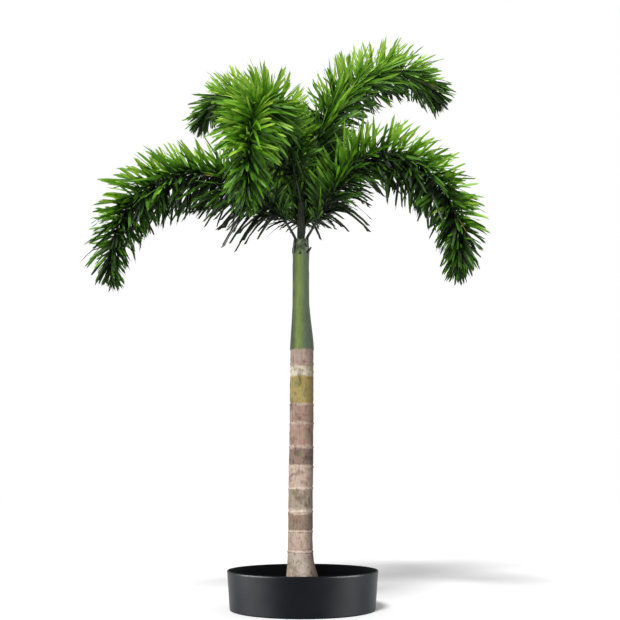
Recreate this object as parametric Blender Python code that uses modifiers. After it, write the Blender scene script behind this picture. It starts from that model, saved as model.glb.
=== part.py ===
"""Potted foxtail palm: a round planter, its soil, one ringed trunk, a crownshaft and seven plume fronds.

The origin is the centre of the planter's flat underside. +Z is up, and the tree is seen from -Y.
"""

import math
from dataclasses import dataclass

import bmesh
import bpy
from mathutils import Vector

COLLECTION_NAME = "potted_foxtail_palm"

# Clear space left between two pieces that rest on each other
GAP = 0.0003

# Planter: a shallow straight-sided bowl, a little narrower at its foot
POT_RIM_RADIUS = 0.3775
POT_BASE_RADIUS = 0.3616
POT_HEIGHT = 0.188
POT_WALL = 0.007
POT_FLOOR = 0.010
POT_RIM_ROUNDING = 0.0025
POT_FOOT_ROUNDING = 0.006
POT_SEGMENTS = 64

# Soil: flat under the trunk, falling a little towards the planter's wall
SOIL_LEVEL = 0.118
SOIL_FLAT_RADIUS = 0.130
SOIL_EDGE_DROP = 0.008
SOIL_SIDE_GAP = 0.0012

# Trunk: a gentle lean and taper, one flare at the foot and a raised ring at every leaf scar
TRUNK_TOP = 1.300
TRUNK_FOOT_RADIUS = 0.0635
TRUNK_TOP_RADIUS = 0.0615
TRUNK_FOOT_OFFSET = -0.0130
TRUNK_TOP_OFFSET = -0.0060
FLARE_WIDTH = 0.0205
FLARE_SHIFT = 0.0123
FLARE_HEIGHT = 0.085
FLARE_STEPS = 5
RING_HEIGHTS = (0.273, 0.371, 0.469, 0.585, 0.696, 0.795, 0.913, 1.012, 1.185, 1.227)
RING_RISE = 0.0020
RING_HALF_WIDTH = 0.008
LEVEL_END = 0.004

# Crownshaft: the smooth column of leaf sheaths, swollen where it leaves the trunk
SHAFT_TOP = 1.905
SHAFT_TOP_OFFSET = -0.0127
SHAFT_LEAN_SHARE = 0.5
SHAFT_STATIONS = (
    (0.00, 0.0612),
    (0.05, 0.0600),
    (0.13, 0.0565),
    (0.26, 0.0490),
    (0.40, 0.0428),
    (0.60, 0.0420),
    (0.78, 0.0428),
    (0.91, 0.0458),
    (1.00, 0.0430),
)

# Heart stem: the bundle of young leaf stalks that stands on the crownshaft
HEART_TOP = 2.120
HEART_BASE_RADIUS = 0.0210
HEART_TOP_RADIUS = 0.0185

# Sheath stub: the dry hooked end of an old sheath on the crownshaft's right side
STUB_HEIGHT = 1.835
STUB_AZIMUTH = -22.0
STUB_REACH = 0.020
STUB_RISE = 0.024
STUB_BASE_RADIUS = 0.0055
STUB_TIP_RADIUS = 0.0025
STUB_BEND = 0.6

# Where a leaf stalk stands: on the crownshaft's shoulder, or on the heart stem
SHOULDER_SEAT_RADIUS = 0.0325
HEART_SEAT_RADIUS = 0.0115

# Leaf stalks, from their seat to the first leaflets
PETIOLE_BASE_RADIUS = 0.0068
PETIOLE_END_RADIUS = 0.0060
PETIOLE_UPRIGHT = 0.010
PETIOLE_STATIONS = 6

# Frond blades: two thin crossed blades of the plume's outline, split at the bend
PLUME_START = 0.075
PLUME_FULL = 0.20
PLUME_SHRINK = 0.66
PLUME_SHRINK_POWER = 1.5
PLUME_OVERHANG = 0.060
PLUME_HANG = 0.20
PLUME_LIFT_LOSS = 0.05
BLADE_HALF_THICKNESS = 0.003
BLADE_ARM_MIN = 0.012
BLADE_STATION_PITCH = 0.072
BLADE_TOOTH = 0.10
AXIS_CLEARANCE = 0.042
SECTOR_CLEARANCE = 0.010
MIDRIB_STEPS = 120

# Bevel resolution of each round limb: twice it plus four is the number of sides
TRUNK_BEVEL = 8
SHAFT_BEVEL = 8
HEART_BEVEL = 5
PETIOLE_BEVEL = 2


@dataclass(frozen=True)
class Frond:
    """One frond, described by the course of its midrib.

    Azimuths are degrees from +X towards +Y. The elevations are the midrib's angles above the
    level at its start, quarter, middle, three quarters and tip. The tip share is the part of
    the plume's full reach that is left where the midrib ends.
    """

    name: str
    azimuth: float
    sweep: float
    on_heart: bool
    elevations: tuple[float, ...]
    length: float
    plume_radius: float
    tip_share: float
    bend: float


FRONDS = (
    Frond("left", 190.0, 0.0, False, (63, 29, -14, -65, -105), 1.52, 0.182, 0.18, 0.50),
    Frond("right", 350.0, 0.0, False, (58, 62, -27, -69, -105), 1.53, 0.182, 0.35, 0.46),
    Frond("upper_right", 32.0, 0.0, True, (81, 70, 49, 20, -39), 1.57, 0.188, 0.62, 0.62),
    Frond("upper_left", 134.0, 0.0, True, (82, 56, 53, 23, -46), 1.41, 0.175, 0.50, 0.62),
    Frond("front", 253.0, 9.0, True, (54, 27, -20, -68, -94), 1.50, 0.185, 0.20, 0.50),
    Frond("rear_left", 103.0, 0.0, False, (79, 64, 34, -2, -38), 1.36, 0.175, 0.35, 0.55),
    Frond("rear_right", 68.0, 0.0, False, (77, 66, 44, 14, -22), 1.30, 0.175, 0.35, 0.55),
)


def clear_scene() -> None:
    """Removes every object that the new file starts with."""
    for item in list(bpy.data.objects):
        bpy.data.objects.remove(item, do_unlink=True)


def smooth_part(value: float) -> float:
    """Eases a share from 0 to 1 with level ends."""
    share = min(max(value, 0.0), 1.0)
    return share * share * (3.0 - 2.0 * share)


def mix(low: float, high: float, share: float) -> float:
    """Gives the value at a share of the way from low to high."""
    return low + (high - low) * share


def along(stations, share: float) -> float:
    """Reads evenly spaced stations at a share of their run, in straight lines between them."""
    position = min(max(share, 0.0), 1.0) * (len(stations) - 1)
    index = min(int(position), len(stations) - 2)
    return mix(stations[index], stations[index + 1], position - index)


def make_material(name: str, color, roughness: float, metallic: float = 0.0):
    """Makes a plain Principled material."""
    material = bpy.data.materials.new(name)
    material.use_nodes = True
    shader = material.node_tree.nodes["Principled BSDF"]
    shader.inputs["Base Color"].default_value = (*color, 1.0)
    shader.inputs["Roughness"].default_value = roughness
    shader.inputs["Metallic"].default_value = metallic
    return material


def place(name: str, data, collection, material):
    """Puts a mesh or curve into the scene as a named part with its material."""
    part = bpy.data.objects.new(name, data)
    data.materials.append(material)
    collection.objects.link(part)
    return part


def turned(name: str, profile, segments: int, collection, material):
    """Turns a profile of (radius, height) points about the vertical axis.

    The profile starts and ends on the axis and runs down its outer side.
    """
    mesh = bpy.data.meshes.new(name)
    points = [(radius, 0.0, height) for radius, height in profile]
    mesh.from_pydata(points, [(i, i + 1) for i in range(len(points) - 1)], [])
    part = place(name, mesh, collection, material)
    screw = part.modifiers.new("turn", "SCREW")
    screw.steps = segments
    screw.render_steps = segments
    screw.use_merge_vertices = True
    screw.merge_threshold = 0.0001
    screw.use_smooth_shade = True
    return part


def limb(name: str, points, radii, bevel: int, collection, material):
    """Sweeps a round section of changing radius along a run of points, with flat ends."""
    curve = bpy.data.curves.new(name, "CURVE")
    curve.dimensions = "3D"
    curve.bevel_depth = 1.0
    curve.bevel_resolution = bevel
    curve.use_fill_caps = True
    spline = curve.splines.new("POLY")
    spline.points.add(len(points) - 1)
    for control, point, radius in zip(spline.points, points, radii):
        control.co = (*point, 1.0)
        control.radius = radius
    return place(name, curve, collection, material)


def pot_radius(height: float) -> float:
    """Gives the planter's outer radius at a height."""
    return mix(POT_BASE_RADIUS, POT_RIM_RADIUS, height / POT_HEIGHT)


def make_pot(collection):
    """Makes the planter: flat foot, tapered wall and a small rounding at rim and foot."""
    material = make_material("pot_black_plastic", (0.018, 0.019, 0.022), 0.32)
    inner_floor = pot_radius(POT_FLOOR) - POT_WALL
    inner_rim = POT_RIM_RADIUS - POT_WALL
    rim_edge = POT_HEIGHT - POT_RIM_ROUNDING
    profile = [
        (0.0, POT_FLOOR),
        (inner_floor, POT_FLOOR),
        (inner_rim, rim_edge),
        (inner_rim + POT_RIM_ROUNDING, POT_HEIGHT),
        (POT_RIM_RADIUS - POT_RIM_ROUNDING, POT_HEIGHT),
        (POT_RIM_RADIUS, rim_edge),
        (pot_radius(POT_FOOT_ROUNDING), POT_FOOT_ROUNDING),
        (POT_BASE_RADIUS - POT_FOOT_ROUNDING, 0.0),
        (0.0, 0.0),
    ]
    return turned("pot", profile, POT_SEGMENTS, collection, material)


def make_soil(collection):
    """Makes the soil, a disc that fills the planter up to the trunk's foot."""
    material = make_material("dark_potting_soil", (0.022, 0.016, 0.011), 0.95)
    bottom = POT_FLOOR + GAP
    top = SOIL_LEVEL - GAP
    edge = top - SOIL_EDGE_DROP
    inset = POT_WALL + SOIL_SIDE_GAP
    profile = [
        (0.0, top),
        (SOIL_FLAT_RADIUS, top),
        (pot_radius(edge) - inset, edge),
        (pot_radius(bottom) - inset, bottom),
        (0.0, bottom),
    ]
    return turned("potting_soil", profile, POT_SEGMENTS, collection, material)


def trunk_center(height: float) -> Vector:
    """Gives the middle of the trunk at a height: a light lean, and the foot drawn to the right."""
    share = smooth_part((height - SOIL_LEVEL) / (TRUNK_TOP - SOIL_LEVEL))
    foot = math.exp(-(((height - SOIL_LEVEL) / FLARE_HEIGHT) ** 2))
    offset = mix(TRUNK_FOOT_OFFSET, TRUNK_TOP_OFFSET, share) + FLARE_SHIFT * foot
    return Vector((offset, 0.0, height))


def trunk_radius(height: float) -> float:
    """Gives the trunk's radius at a height, without the leaf-scar rings."""
    share = (height - SOIL_LEVEL) / (TRUNK_TOP - SOIL_LEVEL)
    foot = math.exp(-(((height - SOIL_LEVEL) / FLARE_HEIGHT) ** 2))
    return mix(TRUNK_FOOT_RADIUS, TRUNK_TOP_RADIUS, share) + FLARE_WIDTH * foot


def trunk_stations() -> list[tuple[float, float]]:
    """Lists (height, radius) up the trunk: the flare, and three stations for each ring."""
    heights = [(SOIL_LEVEL, 0.0)]
    first_ring = RING_HEIGHTS[0] - RING_HALF_WIDTH
    for step in range(FLARE_STEPS):
        share = (step + 0.5) / FLARE_STEPS
        heights.append((mix(SOIL_LEVEL, first_ring, share), 0.0))
    for ring in RING_HEIGHTS:
        heights.append((ring - RING_HALF_WIDTH, 0.0))
        heights.append((ring, RING_RISE))
        heights.append((ring + RING_HALF_WIDTH, 0.0))
    heights.append((TRUNK_TOP, 0.0))
    return [(height, trunk_radius(height) + rise) for height, rise in heights]


def with_level_ends(points, radii):
    """Adds a short upright run at both ends, so that the two end faces lie level."""
    rise = Vector((0.0, 0.0, LEVEL_END))
    full_points = [points[0], points[0] + rise, *points[1:-1], points[-1] - rise, points[-1]]
    full_radii = [radii[0], radii[0], *radii[1:-1], radii[-1], radii[-1]]
    return full_points, full_radii


def make_trunk(collection):
    """Makes the trunk from its flat foot on the soil to the crownshaft."""
    material = make_material("ringed_palm_bark", (0.42, 0.34, 0.28), 0.85)
    stations = trunk_stations()
    points = [trunk_center(height) for height, _ in stations]
    radii = [radius for _, radius in stations]
    points, radii = with_level_ends(points, radii)
    return limb("trunk", points, radii, TRUNK_BEVEL, collection, material)


def shaft_center(share: float) -> Vector:
    """Gives the middle of the crownshaft at a share of its height."""
    base = TRUNK_TOP + GAP
    offset = mix(TRUNK_TOP_OFFSET, SHAFT_TOP_OFFSET, smooth_part(share / SHAFT_LEAN_SHARE))
    return Vector((offset, 0.0, mix(base, SHAFT_TOP, share)))


def shaft_radius(height: float) -> float:
    """Gives the crownshaft's radius at a height."""
    share = (height - TRUNK_TOP) / (SHAFT_TOP - TRUNK_TOP)
    for (low, low_radius), (high, high_radius) in zip(SHAFT_STATIONS, SHAFT_STATIONS[1:]):
        if share <= high:
            return mix(low_radius, high_radius, (share - low) / (high - low))
    return SHAFT_STATIONS[-1][1]


def make_crownshaft(collection):
    """Makes the crownshaft, a waxy green column that swells at its foot."""
    material = make_material("green_crownshaft", (0.20, 0.27, 0.11), 0.42)
    points = [shaft_center(share) for share, _ in SHAFT_STATIONS]
    radii = [radius for _, radius in SHAFT_STATIONS]
    points, radii = with_level_ends(points, radii)
    return limb("crownshaft", points, radii, SHAFT_BEVEL, collection, material)


def make_heart(collection):
    """Makes the heart stem, which carries the three youngest fronds."""
    material = make_material("young_leaf_stalks", (0.05, 0.06, 0.035), 0.55)
    foot = Vector((SHAFT_TOP_OFFSET, 0.0, SHAFT_TOP + GAP))
    head = Vector((SHAFT_TOP_OFFSET, 0.0, HEART_TOP))
    points = [foot, foot.lerp(head, 0.5), head]
    radii = [HEART_BASE_RADIUS, mix(HEART_BASE_RADIUS, HEART_TOP_RADIUS, 0.5), HEART_TOP_RADIUS]
    return limb("heart_stem", points, radii, HEART_BEVEL, collection, material)


def make_stub(collection):
    """Makes the dry hooked sheath end that stands off the crownshaft's right side."""
    material = make_material("dry_sheath", (0.06, 0.055, 0.035), 0.8)
    azimuth = math.radians(STUB_AZIMUTH)
    outward = Vector((math.cos(azimuth), math.sin(azimuth), 0.0))
    center = Vector((SHAFT_TOP_OFFSET, 0.0, STUB_HEIGHT))
    root = center + outward * (shaft_radius(STUB_HEIGHT) + GAP)
    middle = root + outward * STUB_BEND * STUB_REACH
    tip = root + outward * STUB_REACH + Vector((0.0, 0.0, STUB_RISE))
    radii = [STUB_BASE_RADIUS, mix(STUB_BASE_RADIUS, STUB_TIP_RADIUS, STUB_BEND), STUB_TIP_RADIUS]
    return limb("sheath_stub", [root, middle, tip], radii, PETIOLE_BEVEL, collection, material)


def seat_point(frond: Frond) -> Vector:
    """Gives the point that a frond's stalk stands on."""
    radius = HEART_SEAT_RADIUS if frond.on_heart else SHOULDER_SEAT_RADIUS
    height = (HEART_TOP if frond.on_heart else SHAFT_TOP) + GAP
    azimuth = math.radians(frond.azimuth)
    return Vector((SHAFT_TOP_OFFSET + radius * math.cos(azimuth), radius * math.sin(azimuth), height))


def midrib_direction(frond: Frond, share: float) -> Vector:
    """Gives the unit direction of a frond's midrib at a share of its length."""
    elevation = math.radians(along(frond.elevations, share))
    azimuth = math.radians(frond.azimuth + frond.sweep * share)
    level = math.cos(elevation)
    return Vector((level * math.cos(azimuth), level * math.sin(azimuth), math.sin(elevation)))


def midrib_point(frond: Frond, share: float) -> Vector:
    """Walks along a frond's midrib from its seat to a share of its length."""
    point = seat_point(frond) + Vector((0.0, 0.0, PETIOLE_UPRIGHT))
    steps = max(1, round(abs(share) * MIDRIB_STEPS))
    stride = frond.length * share / steps
    for step in range(steps):
        point += midrib_direction(frond, share * (step + 0.5) / steps) * stride
    return point


def plume_reach(frond: Frond, share: float) -> float:
    """Gives how far the leaflets reach out from the midrib at a share of its length."""
    grown = smooth_part((share - PLUME_START) / (PLUME_FULL - PLUME_START))
    shrunk = max(0.0, (share - PLUME_SHRINK) / (1.0 - PLUME_SHRINK)) ** PLUME_SHRINK_POWER
    return frond.plume_radius * grown * mix(1.0, frond.tip_share, min(shrunk, 1.0))


def sector_half_angle(frond: Frond) -> float:
    """Gives half the angle, in radians, to the neighbouring frond that lies nearest."""
    gaps = []
    for other in FRONDS:
        if other is not frond:
            turn = abs(frond.azimuth - other.azimuth) % 360.0
            gaps.append(min(turn, 360.0 - turn))
    return math.radians(min(gaps) / 2.0)


def blade_section(frond: Frond, share: float, advance: float, tooth: float):
    """Gives the twelve corners of the crossed blades at a share of the midrib's length.

    Args:
        frond: The frond.
        share: The place along the midrib, from 0 to 1.
        advance: A distance by which the section is moved on along the midrib.
        tooth: The share of the full reach that the blades keep here.
    """
    forward = midrib_direction(frond, share)
    center = midrib_point(frond, share) + forward * advance
    azimuth = math.radians(frond.azimuth + frond.sweep * share)
    side = Vector((math.sin(azimuth), -math.cos(azimuth), 0.0))
    upper = side.cross(forward)
    reach = plume_reach(frond, share) * tooth
    from_axis = math.hypot(center.x - SHAFT_TOP_OFFSET, center.y)
    inward = math.hypot(upper.x, upper.y)
    level = math.hypot(forward.x, forward.y)
    above = reach * (1.0 - PLUME_LIFT_LOSS * level)
    below = reach * (1.0 + PLUME_HANG * level)
    room = from_axis - AXIS_CLEARANCE
    if forward.z > 0.0 and above * inward > room:
        above = room / inward
    across = min(reach, from_axis * math.tan(sector_half_angle(frond)) - SECTOR_CLEARANCE)
    above, across, below = (max(value, BLADE_ARM_MIN) for value in (above, across, below))
    thin = BLADE_HALF_THICKNESS
    corners = [
        (thin, above), (thin, thin), (across, thin), (across, -thin), (thin, -thin), (thin, -below),
        (-thin, -below), (-thin, -thin), (-across, -thin), (-across, thin), (-thin, thin), (-thin, above),
    ]
    return [center + side * aside + upper * up for aside, up in corners]


def loft(name: str, sections, collection, material):
    """Joins a run of like-numbered sections into one closed solid."""
    shape = bmesh.new()
    rings = [[shape.verts.new(corner) for corner in section] for section in sections]
    for ring, following in zip(rings, rings[1:]):
        for index, corner in enumerate(ring):
            after = (index + 1) % len(ring)
            shape.faces.new((corner, ring[after], following[after], following[index]))
    shape.faces.new(rings[0])
    shape.faces.new(reversed(rings[-1]))
    bmesh.ops.recalc_face_normals(shape, faces=shape.faces)
    mesh = bpy.data.meshes.new(name)
    shape.to_mesh(mesh)
    shape.free()
    return place(name, mesh, collection, material)


def make_blade(frond: Frond, part_name: str, start: float, end: float, collection, material):
    """Makes the stretch of a frond's blades between two shares of its midrib."""
    count = max(3, round((end - start) * frond.length / BLADE_STATION_PITCH))
    sections = []
    for index in range(count + 1):
        share = mix(start, end, index / count)
        inside = 0 < index < count
        tooth = 1.0 - BLADE_TOOTH * (index % 2) if inside else 1.0
        advance = GAP if index == 0 else 0.0
        sections.append(blade_section(frond, share, advance, tooth))
    if end >= 1.0:
        sections.append(blade_section(frond, end, PLUME_OVERHANG, 0.0))
    return loft(f"frond_{frond.name}_{part_name}", sections, collection, material)


def make_petiole(frond: Frond, collection, material):
    """Makes a frond's stalk, from its seat to its first leaflets."""
    points = [seat_point(frond)]
    for index in range(PETIOLE_STATIONS):
        points.append(midrib_point(frond, PLUME_START * index / (PETIOLE_STATIONS - 1)))
    last = len(points) - 1
    radii = [mix(PETIOLE_BASE_RADIUS, PETIOLE_END_RADIUS, index / last) for index in range(len(points))]
    return limb(f"petiole_{frond.name}", points, radii, PETIOLE_BEVEL, collection, material)


def make_frond(frond: Frond, collection):
    """Makes a frond: its stalk, its inner blade and its outer blade."""
    stalk = make_material(f"stalk_{frond.name}", (0.10, 0.14, 0.05), 0.5)
    leaf = make_material(f"leaflets_{frond.name}", (0.06, 0.14, 0.02), 0.5)
    make_petiole(frond, collection, stalk)
    make_blade(frond, "inner", PLUME_START, frond.bend, collection, leaf)
    make_blade(frond, "outer", frond.bend, 1.0, collection, leaf)


def main() -> None:
    """Builds the whole potted palm."""
    clear_scene()
    collection = bpy.data.collections.new(COLLECTION_NAME)
    bpy.context.scene.collection.children.link(collection)
    make_pot(collection)
    make_soil(collection)
    make_trunk(collection)
    make_crownshaft(collection)
    make_heart(collection)
    make_stub(collection)
    for frond in FRONDS:
        make_frond(frond, collection)


main()
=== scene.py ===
"""Looks of the potted foxtail palm: planter, soil, ringed trunk, crownshaft, stalks and seven plumes."""

import logging
import math
from collections.abc import Sequence
from dataclasses import dataclass
from enum import Enum
from typing import Any

import bpy
import numpy as np
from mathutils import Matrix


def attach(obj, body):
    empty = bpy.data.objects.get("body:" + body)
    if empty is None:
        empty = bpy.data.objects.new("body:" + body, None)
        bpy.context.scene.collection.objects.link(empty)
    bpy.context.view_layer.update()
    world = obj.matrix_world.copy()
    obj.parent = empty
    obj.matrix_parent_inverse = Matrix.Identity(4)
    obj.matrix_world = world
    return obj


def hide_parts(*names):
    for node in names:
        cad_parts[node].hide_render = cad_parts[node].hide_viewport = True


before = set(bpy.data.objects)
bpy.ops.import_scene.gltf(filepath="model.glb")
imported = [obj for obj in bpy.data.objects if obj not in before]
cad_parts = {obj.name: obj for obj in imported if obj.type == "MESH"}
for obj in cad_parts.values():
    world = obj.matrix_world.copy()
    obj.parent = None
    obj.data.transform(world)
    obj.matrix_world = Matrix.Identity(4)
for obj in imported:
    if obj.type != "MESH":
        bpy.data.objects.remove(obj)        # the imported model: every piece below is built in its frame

LOG = logging.getLogger("potted_foxtail_palm")
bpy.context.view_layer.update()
BODY = "root"
SEED = 20417
MM = 0.001

# Heights and places that the CAD pieces share
SOIL_LEVEL = 0.118
TRUNK_TOP = 1.300
SHAFT_TOP = 1.905
HEART_TOP = 2.120
AXIS_TOP_OFFSET = -0.0127
GAP = 0.0003

# A crumb is a six-cornered lump: its corners round the middle, then the upper and the lower one
CRUMB_CORNERS = np.array([(1, 0, 0), (0, 1, 0), (-1, 0, 0), (0, -1, 0), (0, 0, 1), (0, 0, -1)], float)
CRUMB_FACES = np.array([(0, 1, 4), (1, 2, 4), (2, 3, 4), (3, 0, 4),
                        (1, 0, 5), (2, 1, 5), (3, 2, 5), (0, 3, 5)])


class Slot(Enum):
    """The record's material slots."""

    PLANTER = "planter"
    SOIL = "soil"
    BARK = "bark"
    CROWNSHAFT = "crownshaft"
    LEAF_STALK = "leaf_stalk"
    DRY_SHEATH = "dry_sheath"
    LEAFLETS = "leaflets"


def linear(hex_colour: str) -> tuple[float, float, float, float]:
    """Turn an sRGB hex colour into the linear colour that a shader takes.

    Args:
        hex_colour: The colour as "#rrggbb".

    Returns:
        Linear red, green and blue, and an alpha of 1.
    """
    shares = [int(hex_colour[place:place + 2], 16) / 255 for place in (1, 3, 5)]
    red, green, blue = (s / 12.92 if s <= 0.04045 else ((s + 0.055) / 1.055) ** 2.4 for s in shares)
    return red, green, blue, 1.0


def smoothstep(share: float | np.ndarray) -> float | np.ndarray:
    """Ease a share from 0 to 1, level at both ends."""
    held = np.clip(share, 0.0, 1.0)
    return held * held * (3.0 - 2.0 * held)


def add_node(tree: bpy.types.NodeTree, kind: str, settings: dict[str, Any] | None = None,
             inputs: dict[Any, Any] | None = None) -> bpy.types.Node:
    """Add a node, set its properties, and fill or link its inputs.

    Args:
        tree: The node tree that takes the node.
        kind: Blender's type name of the node.
        settings: Property names and their values.
        inputs: Input names or numbers, each with a value or with the socket that feeds it.

    Returns:
        The new node.
    """
    node = tree.nodes.new(kind)
    for name, value in (settings or {}).items():
        setattr(node, name, value)
    for name, value in (inputs or {}).items():
        if isinstance(value, bpy.types.NodeSocket):
            tree.links.new(value, node.inputs[name])
        else:
            node.inputs[name].default_value = value
    return node


def new_material(name: str) -> tuple[bpy.types.Material, bpy.types.NodeTree, bpy.types.Node]:
    """Start a material.

    Args:
        name: The material's name.

    Returns:
        The material, its node tree and the shader in it.
    """
    material = bpy.data.materials.new(name)
    material.use_nodes = True
    return material, material.node_tree, material.node_tree.nodes["Principled BSDF"]


def fill_ramp(ramp: bpy.types.ColorRamp, stops: Sequence[tuple[float, str]]) -> None:
    """Give a colour ramp its stops.

    Args:
        ramp: The ramp to fill.
        stops: Places from 0 to 1 in rising order, each with its sRGB hex colour.
    """
    while len(ramp.elements) < len(stops):
        ramp.elements.new(1.0)
    for element, (place, colour) in zip(ramp.elements, stops):
        element.position = place
        element.color = linear(colour)


def value_noise(across: np.ndarray, along: np.ndarray, cells: tuple[int, int], seed: int) -> np.ndarray:
    """Smooth seeded noise that closes on itself across.

    Args:
        across: Shares round the piece, 0 to 1.
        along: Shares along the piece, 0 to 1.
        cells: The number of noise cells across and along.
        seed: The seed of the noise.

    Returns:
        Noise from -1 to 1, one value for each pair of shares.
    """
    lattice = np.random.default_rng(seed).uniform(-1.0, 1.0, (cells[0], cells[1] + 2))
    column = across * cells[0]
    row = np.clip(along, 0.0, 1.0) * cells[1]
    left = np.floor(column).astype(int)
    low = np.minimum(np.floor(row).astype(int), cells[1])
    mix_across = smoothstep(column - left)
    mix_along = smoothstep(row - low)
    right = (left + 1) % cells[0]
    left = left % cells[0]
    bottom = lattice[left, low] * (1 - mix_across) + lattice[right, low] * mix_across
    top = lattice[left, low + 1] * (1 - mix_across) + lattice[right, low + 1] * mix_across
    return bottom * (1 - mix_along) + top * mix_along


def mesh_piece(name: str, vertices: np.ndarray, faces: list[np.ndarray],
               materials: list[bpy.types.Material], tints: np.ndarray | None = None) -> bpy.types.Object:
    """Make a smooth-shaded mesh object from arrays.

    Args:
        name: The piece's name.
        vertices: Points, one row each, in metres.
        faces: Arrays of faces, each with one row of point numbers a face.
        materials: The piece's materials.
        tints: The material number of each face, or None for the first.

    Returns:
        The new object, linked to the scene.
    """
    mesh = bpy.data.meshes.new(name)
    corners = np.concatenate([group.ravel() for group in faces]).astype(np.int32)
    sizes = np.concatenate([np.full(len(group), group.shape[1], np.int32) for group in faces])
    mesh.vertices.add(len(vertices))
    mesh.vertices.foreach_set("co", vertices.astype(np.float32).ravel())
    mesh.loops.add(len(corners))
    mesh.loops.foreach_set("vertex_index", corners)
    mesh.polygons.add(len(sizes))
    mesh.polygons.foreach_set("loop_start", (np.cumsum(sizes) - sizes).astype(np.int32))
    for material in materials:
        mesh.materials.append(material)
    if tints is not None:
        mesh.polygons.foreach_set("material_index", tints.astype(np.int32))
    mesh.update(calc_edges=True)
    mesh.validate()
    mesh.shade_smooth()
    piece = bpy.data.objects.new(name, mesh)
    bpy.context.scene.collection.objects.link(piece)
    return piece


def grid_faces(rows: int, columns: int, first: int = 0) -> np.ndarray:
    """Number the quads of a grid that closes on itself across.

    Args:
        rows: Rows of points along the piece.
        columns: Points in each row.
        first: The number of the first point.

    Returns:
        One row of four point numbers for each quad, facing out when the columns run anticlockwise.
    """
    row, column = np.meshgrid(np.arange(rows - 1), np.arange(columns), indexing="ij")
    after = (column + 1) % columns
    quads = np.stack((row * columns + column, row * columns + after,
                      (row + 1) * columns + after, (row + 1) * columns + column), -1)
    return quads.reshape(-1, 4) + first


def column_faces(rows: int, columns: int) -> list[np.ndarray]:
    """Number the faces of a closed column: its wall, and a fan at each end.

    Args:
        rows: Rows of points along the column, which the middles of its two ends follow.
        columns: Points in each row.

    Returns:
        The wall's quads, the first end's triangles and the last end's.
    """
    count = rows * columns
    ring = np.arange(columns)
    after = (ring + 1) % columns
    last = count - columns
    first_fan = np.stack((after, ring, np.full_like(ring, count)), 1)
    last_fan = np.stack((last + ring, last + after, np.full_like(ring, count + 1)), 1)
    return [grid_faces(rows, columns), first_fan, last_fan]


def settle(piece: bpy.types.Object, slot: Slot, *nodes: str) -> bpy.types.Object:
    """Ride a piece on the body and hide the CAD nodes that it stands for.

    Args:
        piece: The finished piece.
        slot: The material slot meant for its finish; not used.
        nodes: The CAD nodes that it replaces.

    Returns:
        The same piece.
    """
    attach(piece, BODY)
    if nodes:
        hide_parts(*nodes)
    LOG.info("%s: %d faces", piece.name, len(piece.data.polygons))
    return piece


@dataclass(frozen=True)
class MouldedPolypropylene:
    """Black polypropylene, injection moulded in a finely eroded steel mould.

    To the eye it is a satin skin: broad soft bands of light on a near-black wall, with no sharp mirror.
    Its real grain is about 0.1 mm, and it is drawn at 1.2 mm, as coarse as it needs to show.
    """

    colour: str = "#020306"
    cloudy: str = "#040509"
    roughness: float = 0.38
    smoother: float = 0.05
    rougher: float = 0.07
    specular_level: float = 0.11
    ior: float = 1.49
    cloud: float = 111.1 * MM
    grain: float = 1.2 * MM
    relief: float = 0.04 * MM

    def make(self) -> bpy.types.Material:
        """Make the material.

        Returns:
            The planter's material.
        """
        material, tree, shader = new_material("moulded_polypropylene")
        place = add_node(tree, "ShaderNodeTexCoord").outputs["Object"]
        grain = add_node(tree, "ShaderNodeTexNoise",
                         inputs={"Vector": place, "Scale": 1 / self.grain, "Detail": 2.0})
        cloud = add_node(tree, "ShaderNodeTexNoise",
                         inputs={"Vector": place, "Scale": 1 / self.cloud, "Detail": 3.0})
        tone = add_node(tree, "ShaderNodeValToRGB", inputs={"Fac": cloud.outputs["Fac"]})
        fill_ramp(tone.color_ramp, [(0.3, self.colour), (0.7, self.cloudy)])
        rough = add_node(tree, "ShaderNodeMapRange",
                         inputs={"Value": cloud.outputs["Fac"], "To Min": self.roughness - self.smoother,
                                 "To Max": self.roughness + self.rougher})
        bump = add_node(tree, "ShaderNodeBump",
                        inputs={"Height": grain.outputs["Fac"], "Strength": 0.25, "Distance": self.relief})
        shader.inputs["IOR"].default_value = self.ior
        shader.inputs["Specular IOR Level"].default_value = self.specular_level
        tree.links.new(tone.outputs["Color"], shader.inputs["Base Color"])
        tree.links.new(rough.outputs["Result"], shader.inputs["Roughness"])
        tree.links.new(bump.outputs["Normal"], shader.inputs["Normal"])
        return material


@dataclass(frozen=True)
class PottingMix:
    """Potting mix: damp peat with bark crumbs, tipped in and watered down.

    To the eye it is almost black and quite matt, with a few browner bits.
    """

    dark: str = "#0d0b0a"
    brown: str = "#241b15"
    roughness: float = 0.95
    crumb: float = 6 * MM
    relief: float = 2 * MM

    def make(self) -> bpy.types.Material:
        """Make the material.

        Returns:
            The soil's material.
        """
        material, tree, shader = new_material("potting_mix")
        place = add_node(tree, "ShaderNodeTexCoord").outputs["Object"]
        crumbs = add_node(tree, "ShaderNodeTexNoise",
                          inputs={"Vector": place, "Scale": 1 / self.crumb, "Detail": 5.0})
        tone = add_node(tree, "ShaderNodeValToRGB", inputs={"Fac": crumbs.outputs["Fac"]})
        fill_ramp(tone.color_ramp, [(0.35, self.dark), (0.62, self.brown)])
        bump = add_node(tree, "ShaderNodeBump",
                        inputs={"Height": crumbs.outputs["Fac"], "Strength": 0.7, "Distance": self.relief})
        shader.inputs["Roughness"].default_value = self.roughness
        tree.links.new(tone.outputs["Color"], shader.inputs["Base Color"])
        tree.links.new(bump.outputs["Normal"], shader.inputs["Normal"])
        return material


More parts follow.
